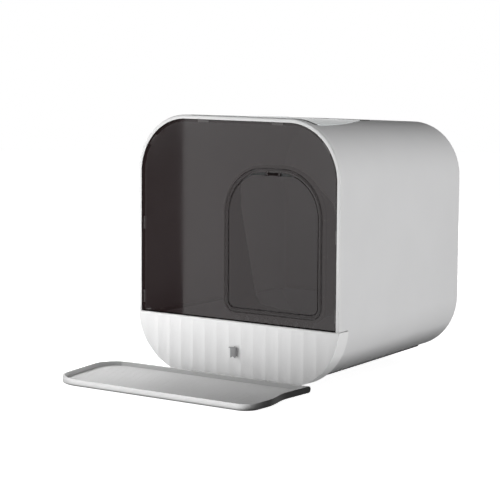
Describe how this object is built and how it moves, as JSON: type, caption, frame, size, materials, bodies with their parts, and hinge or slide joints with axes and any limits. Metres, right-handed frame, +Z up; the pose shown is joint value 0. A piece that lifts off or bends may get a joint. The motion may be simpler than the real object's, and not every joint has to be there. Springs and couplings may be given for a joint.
{
  "type": "cat litter box with hood",
  "caption": "Hooded cat litter box with a smoked front, a swinging arched entry flap, a litter drawer with a fluted front, a fold-up pedal and a hinged lid in its top.",
  "frame": {"origin": "On the floor, midway across the hood and midway between its front and its back", "axes": "X to the right seen from the front, Y to the rear, Z up"},
  "size_m": [0.476, 0.622, 0.451],
  "materials": {
    "hood": "fine satin white plastic",
    "bezel": "polished white plastic",
    "drawer_plastic": "satin white plastic",
    "tray_plastic": "plain off-white plastic",
    "smoked": "clear smoked acrylic, polished",
    "smoked_frame": "smoked acrylic, polished",
    "clip_plastic": "grey plastic",
    "pull_plastic": "mid-grey plastic",
    "pedal_plastic": "light grey plastic, fine grain",
    "mat_plastic": "light grey plastic, ribbed",
    "lid_tint": "pale blue clear plastic, polished",
    "dark_trim": "dark grey plastic",
    "foot_rubber": "dark rubber",
    "steel": "plain steel"
  },
  "bodies": {
    "hood": {"hood_shell": "hood", "front_bezel": "bezel", "lid_hinge_box": "hood", "lid_pin": "steel", "base_rails": "dark_trim", "runner_left": "tray_plastic", "runner_right": "tray_plastic", "feet_front": "foot_rubber", "feet_rear": "foot_rubber", "foot_middle": "foot_rubber"},
    "front_unit": {"front_panel": "smoked", "panel_clips": "clip_plastic", "door_frame": "smoked_frame", "entry_collar": "tray_plastic", "sill_grate": "tray_plastic", "collar_screws": "steel", "flap_pin": "steel"},
    "flap": {"entry_flap": "smoked"},
    "drawer": {"drawer_front": "drawer_plastic", "drawer_pull": "pull_plastic", "litter_tray": "tray_plastic", "tray_screws": "steel", "pedal_brackets": "pedal_plastic"},
    "pedal": {"pedal_tray": "pedal_plastic", "pedal_mat": "mat_plastic", "pedal_pins": "steel"},
    "lid": {"top_lid": "lid_tint"}
  },
  "joints": [
    {"name": "drawer_slide", "type": "slide", "parent": "hood", "child": "drawer", "axis": [0, -1, 0], "range_m": [0, 0.3]},
    {"name": "pedal_fold", "type": "hinge", "parent": "drawer", "child": "pedal", "pos_m": [0, -0.22, 0.006], "axis": [1, 0, 0], "range_deg": [-90, 0]},
    {"name": "panel_lift_off", "type": "slide", "parent": "hood", "child": "front_unit", "axis": [0, -1, 0], "range_m": [0, 0.1]},
    {"name": "flap_swing", "type": "hinge", "parent": "front_unit", "child": "flap", "pos_m": [0.076, -0.2105, 0.3576], "axis": [-1, 0, 0], "range_deg": [-50, 75]},
    {"name": "lid_hinge", "type": "hinge", "parent": "hood", "child": "lid", "pos_m": [0, 0.01261, 0.4374], "axis": [-1, 0, 0], "range_deg": [0, 95]}
  ]
}
